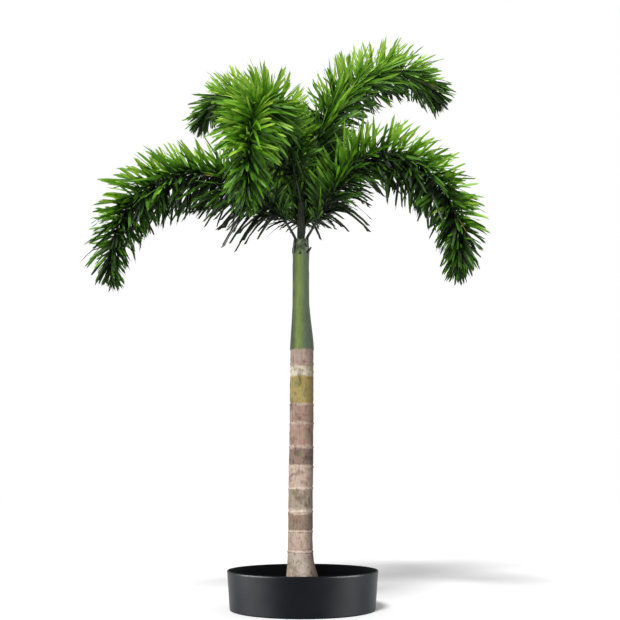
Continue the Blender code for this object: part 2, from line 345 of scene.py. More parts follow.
@dataclass(frozen=True)
class RingedBark:
    """Palm bark: the smooth old skin of the stem, grown with a leaf scar at each ring and worn by the
    weather.

    To the eye it is matt, in pinkish, grey and ochre zones from scar to scar, each scar a pale line, with
    blotches, upright streaks and a little green. The real fibres are about 1 mm apart, and they are drawn
    at 5 mm, as coarse as they need to show.
    """

    pale_scar: str = "#dccdc1"
    cream_scar: str = "#f0e8d5"
    dusty: str = "#c6b9af"
    pale: str = "#c6b2a6"
    dark: str = "#927d72"
    grey: str = "#a6998a"
    rosy: str = "#b59a8d"
    ochre: str = "#baaa6a"
    # The skin between two leaf scars: its foot and top in metres, and its tint
    stretches: tuple[tuple[float, float, str], ...] = (
        (SOIL_LEVEL, 0.262, dusty), (0.283, 0.360, pale), (0.384, 0.455, dark), (0.490, 0.576, grey),
        (0.597, 0.687, pale), (0.708, 0.783, dark), (0.808, 0.905, rosy), (0.925, 1.004, rosy),
        (1.022, 1.155, ochre), (1.214, TRUNK_TOP, pale))
    scar_edge: float = 9 * MM
    wide_scar: float = 30 * MM
    cream_from: float = 1.1
    stains: tuple[tuple[float, str], ...] = (
        (0.32, "#8a7f72"), (0.43, "#cfc6b8"), (0.50, "#ffffff"), (0.60, "#f6e6dc"), (0.72, "#d9c8bd"))
    streaks: tuple[tuple[float, str], ...] = ((0.34, "#7a6e64"), (0.47, "#e9e4dc"), (0.70, "#ffffff"))
    lichen_green: str = "#8a8f62"
    # Painted shade: the tint that darkens the trunk's right side
    painted_shade_side: str = "#8f8078"
    scar_brown: str = "#6b5548"
    stain_share: float = 0.75
    streak_share: float = 0.45
    roughness: float = 0.85
    wander: float = 45.455 * MM
    wander_rise: float = 34 * MM
    fibre: float = 5 * MM
    blotch: float = 45 * MM
    lichen: float = 70 * MM
    scar: float = 30 * MM
    relief: float = 0.8 * MM

    def zones(self) -> list[tuple[float, str]]:
        """List the stops of height and tint: each stretch is even, and each scar between two is a pale line.

        Returns:
            Heights in metres, rising, each with its tint.
        """
        stops = []
        for below, above in zip(self.stretches, self.stretches[1:]):
            low, high = below[1], above[0]
            scar = self.cream_scar if low > self.cream_from else self.pale_scar
            wide = high - low > self.wide_scar
            marks = [low + self.scar_edge, high - self.scar_edge] if wide else [(low + high) / 2]
            stops += [(low, below[2])] + [(mark, scar) for mark in marks] + [(high, above[2])]
        return stops

    def make(self) -> bpy.types.Material:
        """Make the material: zones by height, under blotches, streaks, lichen, painted shade down the right
        side and scars.

        Returns:
            The trunk's material.
        """
        material, tree, shader = new_material("ringed_palm_bark")
        place = add_node(tree, "ShaderNodeTexCoord").outputs["Object"]
        wander = add_node(tree, "ShaderNodeTexNoise",
                          inputs={"Vector": place, "Scale": 1 / self.wander, "Detail": 4.0})
        height = add_node(tree, "ShaderNodeSeparateXYZ", inputs={"Vector": place})
        shifted = add_node(tree, "ShaderNodeMath", {"operation": "MULTIPLY_ADD"},
                           {0: wander.outputs["Fac"], 1: self.wander_rise, 2: height.outputs["Z"]})
        share = add_node(tree, "ShaderNodeMapRange",
                         inputs={"Value": shifted.outputs[0],
                                 "From Min": SOIL_LEVEL + self.wander_rise / 2,
                                 "From Max": TRUNK_TOP + self.wander_rise / 2})
        zones = add_node(tree, "ShaderNodeValToRGB", inputs={"Fac": share.outputs["Result"]})
        span = TRUNK_TOP - SOIL_LEVEL
        fill_ramp(zones.color_ramp, [((level - SOIL_LEVEL) / span, tint) for level, tint in self.zones()])
        blotches = add_node(tree, "ShaderNodeTexNoise",
                            inputs={"Vector": place, "Scale": 1 / self.blotch, "Detail": 6.0,
                                    "Roughness": 0.65})
        stain = add_node(tree, "ShaderNodeValToRGB", inputs={"Fac": blotches.outputs["Fac"]})
        fill_ramp(stain.color_ramp, self.stains)
        stained = add_node(tree, "ShaderNodeMix", {"data_type": "RGBA", "blend_type": "MULTIPLY"},
                           {"Factor": self.stain_share, 6: zones.outputs["Color"],
                            7: stain.outputs["Color"]})
        upright = add_node(tree, "ShaderNodeMapping", inputs={"Vector": place, "Scale": (1.0, 1.0, 0.12)})
        fibres = add_node(tree, "ShaderNodeTexNoise",
                          inputs={"Vector": upright.outputs["Vector"], "Scale": 1 / self.fibre,
                                  "Detail": 5.0, "Roughness": 0.6})
        streak = add_node(tree, "ShaderNodeValToRGB", inputs={"Fac": fibres.outputs["Fac"]})
        fill_ramp(streak.color_ramp, self.streaks)
        streaked = add_node(tree, "ShaderNodeMix", {"data_type": "RGBA", "blend_type": "MULTIPLY"},
                            {"Factor": self.streak_share, 6: stained.outputs[2],
                             7: streak.outputs["Color"]})
        lichen = add_node(tree, "ShaderNodeTexNoise",
                          inputs={"Vector": place, "Scale": 1 / self.lichen, "Detail": 4.0})
        green = add_node(tree, "ShaderNodeMapRange",
                         inputs={"Value": lichen.outputs["Fac"], "From Min": 0.52, "From Max": 0.72,
                                 "To Max": 0.45})
        tinted = add_node(tree, "ShaderNodeMix", {"data_type": "RGBA"},
                          {"Factor": green.outputs["Result"], 6: streaked.outputs[2],
                           7: linear(self.lichen_green)})
        # Painted shade down the trunk's right side (towards +x), its edge broken up by the blotches
        side = add_node(tree, "ShaderNodeMath", {"operation": "MULTIPLY_ADD"},
                        {0: blotches.outputs["Fac"], 1: 0.09, 2: height.outputs["X"]})
        shade = add_node(tree, "ShaderNodeMapRange",
                         inputs={"Value": side.outputs[0], "From Min": 0.052, "From Max": 0.100,
                                 "To Max": 0.9})
        side_shaded = add_node(tree, "ShaderNodeMix", {"data_type": "RGBA", "blend_type": "MULTIPLY"},
                             {"Factor": shade.outputs["Result"], 6: tinted.outputs[2],
                              7: linear(self.painted_shade_side)})
        drawn_up = add_node(tree, "ShaderNodeMapping", inputs={"Vector": place, "Scale": (1.0, 1.0, 0.4)})
        pits = add_node(tree, "ShaderNodeTexNoise",
                        inputs={"Vector": drawn_up.outputs["Vector"], "Scale": 1 / self.scar,
                                "Detail": 5.0, "Roughness": 0.6})
        scars = add_node(tree, "ShaderNodeMapRange",
                         inputs={"Value": pits.outputs["Fac"], "From Min": 0.58, "From Max": 0.70,
                                 "To Max": 0.7})
        scarred = add_node(tree, "ShaderNodeMix", {"data_type": "RGBA", "blend_type": "MULTIPLY"},
                           {"Factor": scars.outputs["Result"], 6: side_shaded.outputs[2],
                            7: linear(self.scar_brown)})
        bump = add_node(tree, "ShaderNodeBump",
                        inputs={"Height": fibres.outputs["Fac"], "Strength": 0.5, "Distance": self.relief})
        shader.inputs["Roughness"].default_value = self.roughness
        tree.links.new(scarred.outputs[2], shader.inputs["Base Color"])
        tree.links.new(bump.outputs["Normal"], shader.inputs["Normal"])
        return material


@dataclass(frozen=True)
class WaxySheath:
    """Living leaf sheath: smooth green skin under a thin wax bloom, as it grew.

    To the eye it is a soft-glossed green with a painted highlight as a yellower stripe up its left, and
    painted shade at its left edge and on its greyer right side; it has fine upright veins and a grey,
    mottled top. The real veins are about 1 mm apart, and they are drawn at 3 mm, as coarse as they need to
    show.
    """

    # Painted light across the column from left to right: painted shade at the left edge, a painted highlight
    # as the yellower stripe, the lit middle, then painted shade on the greyer right side, darkest at its
    # edge
    left: str = "#556149"
    stripe: str = "#90a555"
    middle: str = "#83985a"
    right: str = "#6b7961"
    edge: str = "#525e49"
    vein_shade: str = "#b9bfa8"
    # The tones of the column's grey, mottled top, and how far down it starts and is full
    top_tones: tuple[tuple[float, str], ...] = ((0.38, "#3d4630"), (0.50, "#6a7560"), (0.62, "#98a18c"))
    top_from: float = 0.10
    top_full: float = 0.05
    roughness: float = 0.42
    ior: float = 1.45
    bloom: float = 71.43 * MM
    bloom_shift: float = 30 * MM
    vein: float = 3 * MM
    mottle: float = 26 * MM
    relief: float = 0.4 * MM

    def make(self) -> bpy.types.Material:
        """Make the material: painted highlight and shade from left to right, fine veins, and the grey
        mottled top.

        Returns:
            The crownshaft's material.
        """
        material, tree, shader = new_material("waxy_leaf_sheath")
        place = add_node(tree, "ShaderNodeTexCoord").outputs["Object"]
        parts = add_node(tree, "ShaderNodeSeparateXYZ", inputs={"Vector": place})
        bloom = add_node(tree, "ShaderNodeTexNoise",
                         inputs={"Vector": place, "Scale": 1 / self.bloom, "Detail": 5.0})
        # Painted highlight and shade by the column's side (x), the bands wavered by the bloom noise
        across = add_node(tree, "ShaderNodeMath", {"operation": "MULTIPLY_ADD"},
                          {0: bloom.outputs["Fac"], 1: self.bloom_shift, 2: parts.outputs["X"]})
        share = add_node(tree, "ShaderNodeMapRange",
                         inputs={"Value": across.outputs[0], "From Min": -0.045, "From Max": 0.062})
        tone = add_node(tree, "ShaderNodeValToRGB", inputs={"Fac": share.outputs["Result"]})
        fill_ramp(tone.color_ramp, [(0.05, self.left), (0.30, self.stripe), (0.48, self.middle),
                                    (0.66, self.right), (1.0, self.edge)])
        upright = add_node(tree, "ShaderNodeMapping", inputs={"Vector": place, "Scale": (1.0, 1.0, 0.04)})
        veins = add_node(tree, "ShaderNodeTexNoise",
                         inputs={"Vector": upright.outputs["Vector"], "Scale": 1 / self.vein,
                                 "Detail": 3.0})
        lines = add_node(tree, "ShaderNodeValToRGB", inputs={"Fac": veins.outputs["Fac"]})
        fill_ramp(lines.color_ramp, [(0.35, self.vein_shade), (0.6, "#ffffff")])
        veined = add_node(tree, "ShaderNodeMix", {"data_type": "RGBA", "blend_type": "MULTIPLY"},
                          {"Factor": 0.55, 6: tone.outputs["Color"], 7: lines.outputs["Color"]})
        # A grey, mottled band of tones at the column's top, mixed over the green
        top = add_node(tree, "ShaderNodeMapRange",
                       inputs={"Value": parts.outputs["Z"], "From Min": SHAFT_TOP - self.top_from,
                               "From Max": SHAFT_TOP - self.top_full, "To Max": 0.9})
        mottle = add_node(tree, "ShaderNodeTexNoise",
                          inputs={"Vector": place, "Scale": 1 / self.mottle, "Detail": 4.0})
        dry = add_node(tree, "ShaderNodeValToRGB", inputs={"Fac": mottle.outputs["Fac"]})
        fill_ramp(dry.color_ramp, self.top_tones)
        topped = add_node(tree, "ShaderNodeMix", {"data_type": "RGBA"},
                          {"Factor": top.outputs["Result"], 6: veined.outputs[2], 7: dry.outputs["Color"]})
        bump = add_node(tree, "ShaderNodeBump",
                        inputs={"Height": veins.outputs["Fac"], "Strength": 0.25, "Distance": self.relief})
        shader.inputs["Roughness"].default_value = self.roughness
        shader.inputs["IOR"].default_value = self.ior
        tree.links.new(topped.outputs[2], shader.inputs["Base Color"])
        tree.links.new(bump.outputs["Normal"], shader.inputs["Normal"])
        return material


@dataclass(frozen=True)
class StalkSkin:
    """Skin of a stalk, midrib or dried sheath: firm plant fibre, as it grew.

    To the eye it is dark and slightly waxy, mottled by scurf, with a low soft gloss.
    """

    name: str
    dark: str
    light: str
    roughness: float = 0.5
    scurf: float = 11.111 * MM
    relief: float = 0.5 * MM

    def make(self) -> bpy.types.Material:
        """Make the material.

        Returns:
            A stalk material.
        """
        material, tree, shader = new_material(self.name)
        place = add_node(tree, "ShaderNodeTexCoord").outputs["Object"]
        scurf = add_node(tree, "ShaderNodeTexNoise",
                         inputs={"Vector": place, "Scale": 1 / self.scurf, "Detail": 4.0})
        tone = add_node(tree, "ShaderNodeValToRGB", inputs={"Fac": scurf.outputs["Fac"]})
        fill_ramp(tone.color_ramp, [(0.35, self.dark), (0.68, self.light)])
        bump = add_node(tree, "ShaderNodeBump",
                        inputs={"Height": scurf.outputs["Fac"], "Strength": 0.3, "Distance": self.relief})
        shader.inputs["Roughness"].default_value = self.roughness
        tree.links.new(tone.outputs["Color"], shader.inputs["Base Color"])
        tree.links.new(bump.outputs["Normal"], shader.inputs["Normal"])
        return material


@dataclass(frozen=True)
class LeafletSkin:
    """Palm leaflet: a thin leathery blade with a smooth cuticle, as it grew.

    To the eye it is a fresh green with a faint sheen; its tints run from black-green, painted shade in the
    plume's depth, to yellow-green, painted light at its lit tips. Each tint is one plain colour, and a few
    leaflets are dry.
    """

    tints: tuple[str, ...] = ("#0a1306", "#122207", "#1d3708", "#2e5309", "#447310", "#5d9418", "#7cb126",
                              "#9fc744", "#8b7a45")
    roughness: float = 0.46
    ior: float = 1.42

    def make(self) -> list[bpy.types.Material]:
        """Make one plain material for each tint.

        Returns:
            The leaflet materials, darkest first and the dry one last.
        """
        made = []
        for number, tint in enumerate(self.tints):
            material, _, shader = new_material(f"leaflet_tint_{number}")
            shader.inputs["Base Color"].default_value = linear(tint)
            shader.inputs["Roughness"].default_value = self.roughness
            shader.inputs["IOR"].default_value = self.ior
            made.append(material)
        return made


@dataclass
class Planter:
    """The round bowl planter and the soil in it."""

    rim_radius: float = 0.3775
    base_radius: float = 0.3616
    height: float = 0.188
    wall: float = 0.007
    floor: float = 0.010
    rim_rounding: float = 0.0034
    foot_rounding: float = 0.006
    # The slightly wider band under the rim, and how far it steps out
    rim_band: float = 0.012
    rim_step: float = 0.0012
    # A section ends this far from the axis, so that its middle closes to a point
    pole: float = 0.0005
    crease: float = 50.0
    segments: int = 240
    soil_flat: float = 0.130
    soil_drop: float = 0.008
    soil_sink: float = 2.5 * MM
    soil_clear: float = 0.0014
    soil_pole: float = 0.0004
    level_core: float = 0.05
    soil_rings: int = 90
    soil_segments: int = 180
    lump: float = 2.2 * MM
    small_lump: float = 1.3 * MM
    crumbs: int = 900
    crumb_sizes: tuple[float, float] = (1.5, 4.5)
    crumb_sink: float = 2 * MM

    def inner_radius(self, height: float) -> float:
        """Work out the radius of the wall's inner face at a height."""
        slope = (self.rim_radius - self.base_radius) / self.height
        return self.rim_radius - self.wall - slope * (self.height - height)

    def profile(self) -> list[tuple[float, float]]:
        """Work out the wall's section as radius and height, from the foot's middle up and in again.

        Returns:
            Points of radius and height.
        """
        foot = self.foot_rounding
        points = [(self.pole, 0.0), (self.base_radius - foot, 0.0)]
        for step in range(1, 7):
            turn = math.radians(90 * step / 6)
            points.append((self.base_radius - foot + foot * math.sin(turn), foot - foot * math.cos(turn)))
        rim = self.rim_rounding
        points += [(self.rim_radius - self.rim_step, self.height - self.rim_band),
                   (self.rim_radius, self.height - 0.75 * self.rim_band)]
        for step in range(9):
            turn = math.radians(180 * step / 8)
            points.append((self.rim_radius - rim + rim * math.cos(turn),
                           self.height - rim + rim * math.sin(turn)))
        points += [(self.inner_radius(self.floor), self.floor), (self.pole, self.floor)]
        return points

    def wall_piece(self, material: bpy.types.Material) -> bpy.types.Object:
        """Turn the wall's section round the axis.

        Args:
            material: The planter's material.

        Returns:
            The planter.
        """
        profile = np.array(self.profile())
        turns = np.arange(self.segments) * 2 * math.pi / self.segments
        radius, height = profile[:, :1], profile[:, 1:]
        points = np.stack((radius * np.cos(turns), radius * np.sin(turns),
                           np.repeat(height, self.segments, 1)), -1)
        faces = [grid_faces(len(profile), self.segments)]
        piece = mesh_piece("planter_bowl", points.reshape(-1, 3), faces, [material])
        piece.data.set_sharp_from_angle(angle=math.radians(self.crease))
        return settle(piece, Slot.PLANTER, "pot")

    def soil_piece(self, material: bpy.types.Material) -> bpy.types.Object:
        """Make the soil's uneven top with crumbs on it.

        Args:
            material: The soil's material.

        Returns:
            The soil.
        """
        rings, segments = self.soil_rings, self.soil_segments
        edge = self.inner_radius(SOIL_LEVEL) - self.soil_clear
        radius = np.linspace(0.0, 1.0, rings)[:, None] * edge
        turns = np.arange(segments)[None, :] * 2 * math.pi / segments
        share = turns / (2 * math.pi) + radius * 0
        drop = self.soil_drop * smoothstep((radius - self.soil_flat) / (edge - self.soil_flat))
        lumps = self.lump * value_noise(share, radius / edge + share * 0, (60, 26), SEED)
        lumps += self.small_lump * value_noise(share, radius / edge + share * 0, (150, 70), SEED + 1)
        height = SOIL_LEVEL - GAP - drop - self.soil_sink + lumps * smoothstep(radius / self.level_core)
        flat_radius = np.maximum(radius, self.soil_pole) + share * 0
        points = np.stack((flat_radius * np.cos(turns), flat_radius * np.sin(turns), height), -1)
        vertices = [points.reshape(-1, 3)]
        faces = [grid_faces(rings, segments)[:, ::-1]]
        rng = np.random.default_rng(SEED + 2)
        for _ in range(self.crumbs):
            size = rng.uniform(*self.crumb_sizes) * MM
            reach = edge * math.sqrt(rng.uniform(0.06, 0.97))
            turn = rng.uniform(0, 2 * math.pi)
            lump = self.crumb(size, rng)
            fall = self.soil_drop * smoothstep((reach - self.soil_flat) / (edge - self.soil_flat))
            lump += (reach * math.cos(turn), reach * math.sin(turn), SOIL_LEVEL - fall - self.crumb_sink)
            first = sum(len(group) for group in vertices)
            vertices.append(lump)
            faces.append(CRUMB_FACES + first)
        piece = mesh_piece("soil_surface", np.concatenate(vertices), faces, [material])
        return settle(piece, Slot.SOIL, "potting_soil")

    def crumb(self, size: float, rng: np.random.Generator) -> np.ndarray:
        """Make the corners of one crumb, a squashed uneven octahedron.

        Args:
            size: Its rough radius.
            rng: The source of its unevenness.

        Returns:
            Six corners about the origin.
        """
        corners = CRUMB_CORNERS * size * rng.uniform(0.6, 1.2, (6, 1)) * (1.0, 0.8, 0.6)
        turn = rng.uniform(0, 2 * math.pi)
        cos, sin = math.cos(turn), math.sin(turn)
        return corners @ np.array([(cos, sin, 0), (-sin, cos, 0), (0, 0, 1)])


@dataclass
class Trunk:
    """The ringed trunk: leaning a little, flared at its foot, with raised leaf scars and fine cracks."""

    foot_radius: float = 0.0635
    top_radius: float = 0.0615
    foot_offset: float = -0.0130
    top_offset: float = -0.0060
    flare_width: float = 0.0205
    flare_shift: float = 0.0123
    flare_height: float = 0.085
    rings: tuple[float, ...] = (0.273, 0.371, 0.469, 0.585, 0.696, 0.795, 0.913, 1.012, 1.185, 1.227)
    ring_rise: float = 0.0026
    ring_width: float = 0.0045
    groove: float = 1.3 * MM
    # Height, cells round the trunk and seed of the waves in each ring
    waves: tuple[tuple[float, int, int], ...] = ((4.5 * MM, 5, 20), (2.0 * MM, 17, 60))
    swell: float = 0.9 * MM
    dents: float = 0.5 * MM
    crack: float = 1.1 * MM
    crack_from: float = 0.45
    grain: float = 0.25 * MM
    fold: float = 2.4 * MM
    folds: int = 9
    # The mean relief, taken off again, and how far the ends reach into the soil and the crownshaft
    skin: float = 0.5 * MM
    sink: float = 0.004
    lap: float = 0.001
    rows: int = 560
    columns: int = 150

    def relief(self, across: np.ndarray, height: np.ndarray) -> np.ndarray:
        """Work out how far the bark stands out at each point.

        Args:
            across: Shares round the trunk.
            height: Heights in metres.

        Returns:
            The relief in metres.
        """
        share = (height - SOIL_LEVEL) / (TRUNK_TOP - SOIL_LEVEL)
        rise = self.swell * value_noise(across, share, (7, 16), SEED + 10)
        rise += self.dents * value_noise(across, share, (24, 60), SEED + 11)
        cracks = value_noise(across, share, (70, 34), SEED + 12)
        rise -= self.crack * np.clip(cracks - self.crack_from, 0, 1)
        rise += self.grain * value_noise(across, share, (140, 260), SEED + 13)
        for number, level in enumerate(self.rings):
            away = height - level
            for size, cells, seed in self.waves:
                away = away - size * value_noise(across, share * 0 + 0.5, (cells, 1), SEED + seed + number)
            rise += self.ring_rise * np.exp(-(away / self.ring_width) ** 2)
            rise -= self.groove * np.exp(-((away - 2.1 * self.ring_width) / self.ring_width) ** 2)
        return rise

    def build(self, material: bpy.types.Material) -> bpy.types.Object:
        """Build the trunk.

        Args:
            material: The bark's material.

        Returns:
            The trunk.
        """
        bottom, top = SOIL_LEVEL - self.sink, TRUNK_TOP + self.lap
        height = np.linspace(bottom, top, self.rows)[:, None]
        across = np.arange(self.columns)[None, :] / self.columns
        turns = across * 2 * math.pi
        share = np.clip((height - SOIL_LEVEL) / (TRUNK_TOP - SOIL_LEVEL), 0, 1)
        flare = np.exp(-((height - SOIL_LEVEL) / self.flare_height) ** 2)
        radius = self.foot_radius + (self.top_radius - self.foot_radius) * share + self.flare_width * flare
        round_about = across + height * 0
        radius = radius - self.skin + self.relief(round_about, height + across * 0)
        folds = value_noise(round_about, round_about * 0 + 0.5, (self.folds, 1), SEED + 14)
        radius = radius + self.fold * flare * folds
        middle = self.foot_offset + (self.top_offset - self.foot_offset) * smoothstep(share)
        middle = middle + self.flare_shift * flare
        points = np.stack((middle + radius * np.cos(turns), radius * np.sin(turns),
                           height + across * 0), -1)
        caps = np.array([(self.foot_offset + self.flare_shift, 0, bottom), (self.top_offset, 0, top)])
        piece = mesh_piece("trunk_bark", np.concatenate((points.reshape(-1, 3), caps)),
                           column_faces(self.rows, self.columns), [material])
        return settle(piece, Slot.BARK, "trunk")


@dataclass
class Crownshaft:
    """The column of leaf sheaths with their seams, and the heart and the dry ends at its top."""

    # Share of the height and radius
    stations: tuple[tuple[float, float], ...] = (
        (0.00, 0.0612), (0.05, 0.0600), (0.13, 0.0565), (0.26, 0.0490), (0.40, 0.0428), (0.60, 0.0420),
        (0.78, 0.0428), (0.91, 0.0458), (1.00, 0.0430))
    # Share of the height, azimuth and spread of each sheath's upper edge
    seams: tuple[tuple[float, float, float], ...] = ((0.955, -60.0, 0.09), (0.86, 150.0, 0.10),
                                                     (0.80, 35.0, 0.12))
    foot_offset: float = -0.0060
    lean_share: float = 0.5
    sheath_step: float = 0.0016
    rows: int = 260
    columns: int = 128
    veining: float = 0.35 * MM
    margin_proud: float = 0.6 * MM
    margin_thick: float = 1.8 * MM
    margin_points: int = 40
    # Azimuths and heights of each dried margin's ends, and its width
    margin_runs: tuple[tuple[float, float, float, float, float], ...] = (
        (-137.0, -131.0, 1.824, 1.908, 0.017), (-104.0, -86.0, 1.817, 1.823, 0.014),
        (-100.0, -84.0, 1.899, 1.903, 0.012), (-50.0, -26.0, 1.826, 1.832, 0.016),
        (-60.0, -44.0, 1.868, 1.862, 0.013), (-29.0, -22.0, 1.858, 1.926, 0.012),
        (20.0, 60.0, 1.836, 1.880, 0.012), (70.0, 118.0, 1.815, 1.901, 0.013),
        (140.0, 196.0, 1.885, 1.826, 0.012))
    stub_height: float = 1.835
    stub_azimuth: float = -22.0
    stub_reach: float = 0.020
    stub_rise: float = 0.024
    stub_seat: float = 0.0390
    stub_radii: tuple[float, float] = (0.0088, 0.0056)
    heart_radii: tuple[float, float] = (0.0212, 0.0187)
    heart_lobes: int = 6
    heart_rows: int = 70
    heart_columns: int = 96

    def middle(self, share: np.ndarray) -> np.ndarray:
        """Work out the axis's place along x at a share of the height."""
        lean = AXIS_TOP_OFFSET - self.foot_offset
        return self.foot_offset + lean * smoothstep(share / self.lean_share)

    def build(self, material: bpy.types.Material) -> bpy.types.Object:
        """Build the column.

        Args:
            material: The sheath's material.

        Returns:
            The crownshaft.
        """
        share = np.linspace(0.0, 1.0, self.rows)[:, None]
        across = np.arange(self.columns)[None, :] / self.columns
        turns = across * 2 * math.pi
        places, radii = zip(*self.stations)
        radius = np.interp(share, places, radii)
        kernel = np.ones(9) / 9
        padded = np.pad(radius[:, 0], 4, mode="edge")
        radius = np.convolve(padded, kernel, "valid")[:, None] + across * 0
        for level, azimuth, spread in self.seams:
            turn = np.abs((np.degrees(turns) - azimuth + 180) % 360 - 180) / 180
            edge = level - spread + 2.2 * spread * turn ** 1.5
            radius = radius + self.sheath_step * (1 - smoothstep((share - edge) / 0.008 + 0.5))
            radius = radius - self.sheath_step * 0.5
        veining = value_noise(across + share * 0, share + across * 0, (40, 6), SEED + 30)
        radius = radius + self.veining * veining
        height = TRUNK_TOP + GAP + share * (SHAFT_TOP - TRUNK_TOP - GAP)
        points = np.stack((self.middle(share) + radius * np.cos(turns), radius * np.sin(turns),
                           height + across * 0), -1)
        caps = np.array([(self.foot_offset, 0, TRUNK_TOP + GAP), (AXIS_TOP_OFFSET, 0, SHAFT_TOP)])
        piece = mesh_piece("crownshaft_sheaths", np.concatenate((points.reshape(-1, 3), caps)),
                           column_faces(self.rows, self.columns), [material])
        return settle(piece, Slot.CROWNSHAFT, "crownshaft")

    def surface(self, azimuth: np.ndarray, height: np.ndarray, proud: float) -> np.ndarray:
        """Find points on the column's surface.

        Args:
            azimuth: The points' directions in degrees.
            height: The points' heights in metres.
            proud: How far the points stand out from the surface.

        Returns:
            One row for each point.
        """
        share = (height - TRUNK_TOP - GAP) / (SHAFT_TOP - TRUNK_TOP - GAP)
        places, radii = zip(*self.stations)
        radius = np.interp(share, places, radii) + proud
        turn = np.radians(azimuth)
        return np.stack((self.middle(share) + radius * np.cos(turn), radius * np.sin(turn), height), -1)

    def margins(self, material: bpy.types.Material) -> bpy.types.Object:
        """Build the dried edges of the outer sheaths: dark ragged strips that wrap the column's top.

        Args:
            material: The dry sheath's material.

        Returns:
            The margins, joined.
        """
        vertices, faces = [], []
        for number, (start, end, low, high, width) in enumerate(self.margin_runs):
            share = np.linspace(0.0, 1.0, self.margin_points)
            azimuth = start + (end - start) * share
            rise = low + (high - low) * smoothstep(share)
            wave = value_noise(share, share, (9, 9), SEED + 40 + number)
            points = self.surface(azimuth, rise + 2.5 * MM * wave, self.margin_proud)
            forward = np.gradient(points, axis=0)
            forward /= np.linalg.norm(forward, axis=1)[:, None]
            out = self.surface(azimuth, rise, 0.010) - self.surface(azimuth, rise, 0.0)
            out /= np.linalg.norm(out, axis=1)[:, None]
            across = np.cross(out, forward)
            half = width / 2 * (0.75 + 0.35 * value_noise(share, share, (14, 14), SEED + 50 + number))
            half *= np.sin(np.pi * np.clip(share, 0.06, 0.94)) ** 0.4
            ring, groups = tube(points, across, out, half, half * 0 + self.margin_thick, 8)
            first = sum(len(group) for group in vertices)
            vertices.append(ring)
            faces.extend(group + first for group in groups)
        piece = mesh_piece("dry_sheath_margins", np.concatenate(vertices), faces, [material])
        return settle(piece, Slot.DRY_SHEATH)

    def heart(self, material: bpy.types.Material) -> bpy.types.Object:
        """Build the heart: young stalks pressed into one lobed column.

        Args:
            material: The stalk's material.

        Returns:
            The heart.
        """
        rows, columns = self.heart_rows, self.heart_columns
        share = np.linspace(0.0, 1.0, rows)[:, None]
        across = np.arange(columns)[None, :] / columns
        turns = across * 2 * math.pi
        lobe = np.abs(np.cos(self.heart_lobes * (turns + 0.5 * share) / 2)) ** 0.5
        low, high = self.heart_radii
        radius = (low + (high - low) * share) * (0.74 + 0.26 * lobe)
        height = SHAFT_TOP + GAP + share * (HEART_TOP - SHAFT_TOP - GAP)
        points = np.stack((AXIS_TOP_OFFSET + radius * np.cos(turns), radius * np.sin(turns),
                           height + across * 0), -1)
        caps = np.array([(AXIS_TOP_OFFSET, 0, SHAFT_TOP + GAP), (AXIS_TOP_OFFSET, 0, HEART_TOP)])
        piece = mesh_piece("heart_stalks", np.concatenate((points.reshape(-1, 3), caps)),
                           column_faces(rows, columns), [material])
        return settle(piece, Slot.LEAF_STALK, "heart_stem")

    def stub(self, material: bpy.types.Material) -> bpy.types.Object:
        """Build the dry hooked end of an old sheath.

        Args:
            material: The dry sheath's material.

        Returns:
            The stub.
        """
        share = np.linspace(0.0, 1.0, 14)
        turn = math.radians(self.stub_azimuth)
        out = np.array((math.cos(turn), math.sin(turn), 0.0))
        start = np.array((AXIS_TOP_OFFSET, 0.0, self.stub_height)) + out * self.stub_seat
        bend = share ** 1.6
        points = start + out * (self.stub_reach * share)[:, None]
        points = points + np.array((0.0, 0.0, 1.0)) * (self.stub_rise * bend)[:, None]
        thick, thin = self.stub_radii
        radii = thick + (thin - thick) * share
        forward = np.gradient(points, axis=0)
        forward /= np.linalg.norm(forward, axis=1)[:, None]
        side = np.tile(np.array((math.sin(turn), -math.cos(turn), 0.0)), (len(share), 1))
        vertices, faces = tube(points, side, np.cross(side, forward), radii, radii * 0.7, 12)
        piece = mesh_piece("dry_sheath_hook", vertices, faces, [material])
        return settle(piece, Slot.DRY_SHEATH, "sheath_stub")


def tube(points: np.ndarray, side: np.ndarray, upper: np.ndarray, wide: np.ndarray, tall: np.ndarray,
         segments: int) -> tuple[np.ndarray, list[np.ndarray]]:
    """Make a closed oval tube along a line of points.

    Args:
        points: The line.
        side: The sideways direction at each point.
        upper: The upward direction at each point.
        wide: The half width at each point.
        tall: The half height at each point.
        segments: Points round the tube.

    Returns:
        The vertices and the groups of faces.
    """
    turns = np.arange(segments) * 2 * math.pi / segments
    ring = (side[:, None, :] * (np.cos(turns)[None, :] * wide[:, None])[..., None]
            + upper[:, None, :] * (np.sin(turns)[None, :] * tall[:, None])[..., None])
    grid = points[:, None, :] + ring
    vertices = np.concatenate((grid.reshape(-1, 3), points[:1], points[-1:]))
    return vertices, column_faces(len(points), segments)


@dataclass(frozen=True)
class Frond:
    """One frond: the arch of its midrib, its seat, the reach of its plume and its painted lightness, painted
    light that lifts all its tints above nought and painted shade that lowers them below.

    The azimuth, the sweep (its change along the frond) and the elevations are in degrees, and the
    elevations are spaced evenly from the seat to the tip. The tip share is the plume's reach at the tip, as
    a share of its full reach.
    """

    name: str
    azimuth: float
    sweep: float
    on_heart: bool
    elevations: tuple[float, ...]
    length: float
    plume_radius: float
    tip_share: float
    painted_lightness: float


